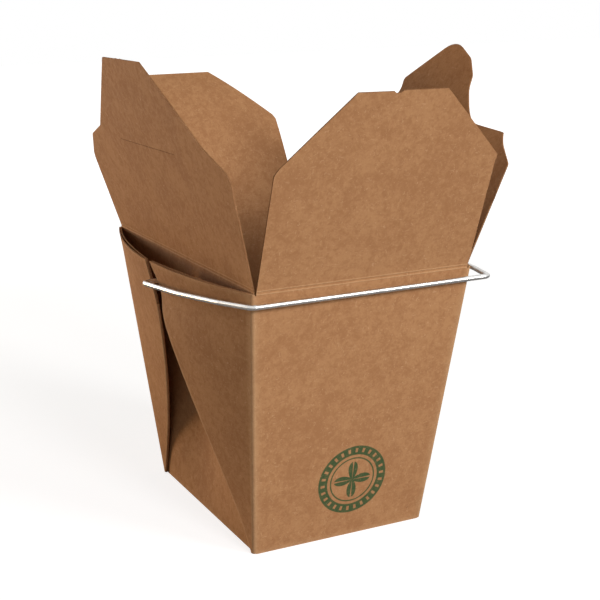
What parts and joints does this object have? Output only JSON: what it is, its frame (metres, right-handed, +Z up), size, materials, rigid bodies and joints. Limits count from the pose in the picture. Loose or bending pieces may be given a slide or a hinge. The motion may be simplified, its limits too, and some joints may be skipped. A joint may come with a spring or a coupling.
{
  "type": "takeout food box",
  "caption": "Tapered takeout food box folded from kraft board, with gusseted ends, hinged top flaps that lock by a tongue and slit, and a wire carrying handle.",
  "frame": {"origin": "middle of the underside of the foot, on the surface the box stands on", "axes": "+Z up, -Y out of the front panel, +X to the right when facing the front panel"},
  "size_m": [0.1348, 0.193, 0.1681],
  "materials": {
    "pail_body": "matt uncoated kraft board",
    "front_flap": "matt uncoated kraft board",
    "back_flap": "matt uncoated kraft board",
    "left_flap": "matt uncoated kraft board",
    "right_flap": "matt uncoated kraft board",
    "wire_handle": "bright drawn wire"
  },
  "bodies": {
    "pail": {"pail_body": "pail_body"},
    "front_flap": {"front_flap": "front_flap"},
    "back_flap": {"back_flap": "back_flap"},
    "left_flap": {"left_flap": "left_flap"},
    "right_flap": {"right_flap": "right_flap"},
    "handle": {"wire_handle": "wire_handle"}
  },
  "joints": [
    {"name": "front_flap_crease", "type": "hinge", "parent": "pail", "child": "front_flap", "pos_m": [0, -0.06475, 0.0985], "axis": [-1, 0, 0], "range_deg": [-63, 113.5]},
    {"name": "back_flap_crease", "type": "hinge", "parent": "pail", "child": "back_flap", "pos_m": [0, 0.06475, 0.0985], "axis": [1, 0, 0], "range_deg": [-50.3, 124.7]},
    {"name": "left_flap_crease", "type": "hinge", "parent": "pail", "child": "left_flap", "pos_m": [-0.0395, 0, 0.099], "axis": [0, 1, 0], "range_deg": [-69.6, 63.3]},
    {"name": "right_flap_crease", "type": "hinge", "parent": "pail", "child": "right_flap", "pos_m": [0.0395, 0, 0.099], "axis": [0, -1, 0], "range_deg": [-57, 89]},
    {"name": "handle_pivot", "type": "hinge", "parent": "pail", "child": "handle", "pos_m": [0.0024, 0, 0.0902], "axis": [-1, 0, 0], "range_deg": [-35, 4]}
  ]
}
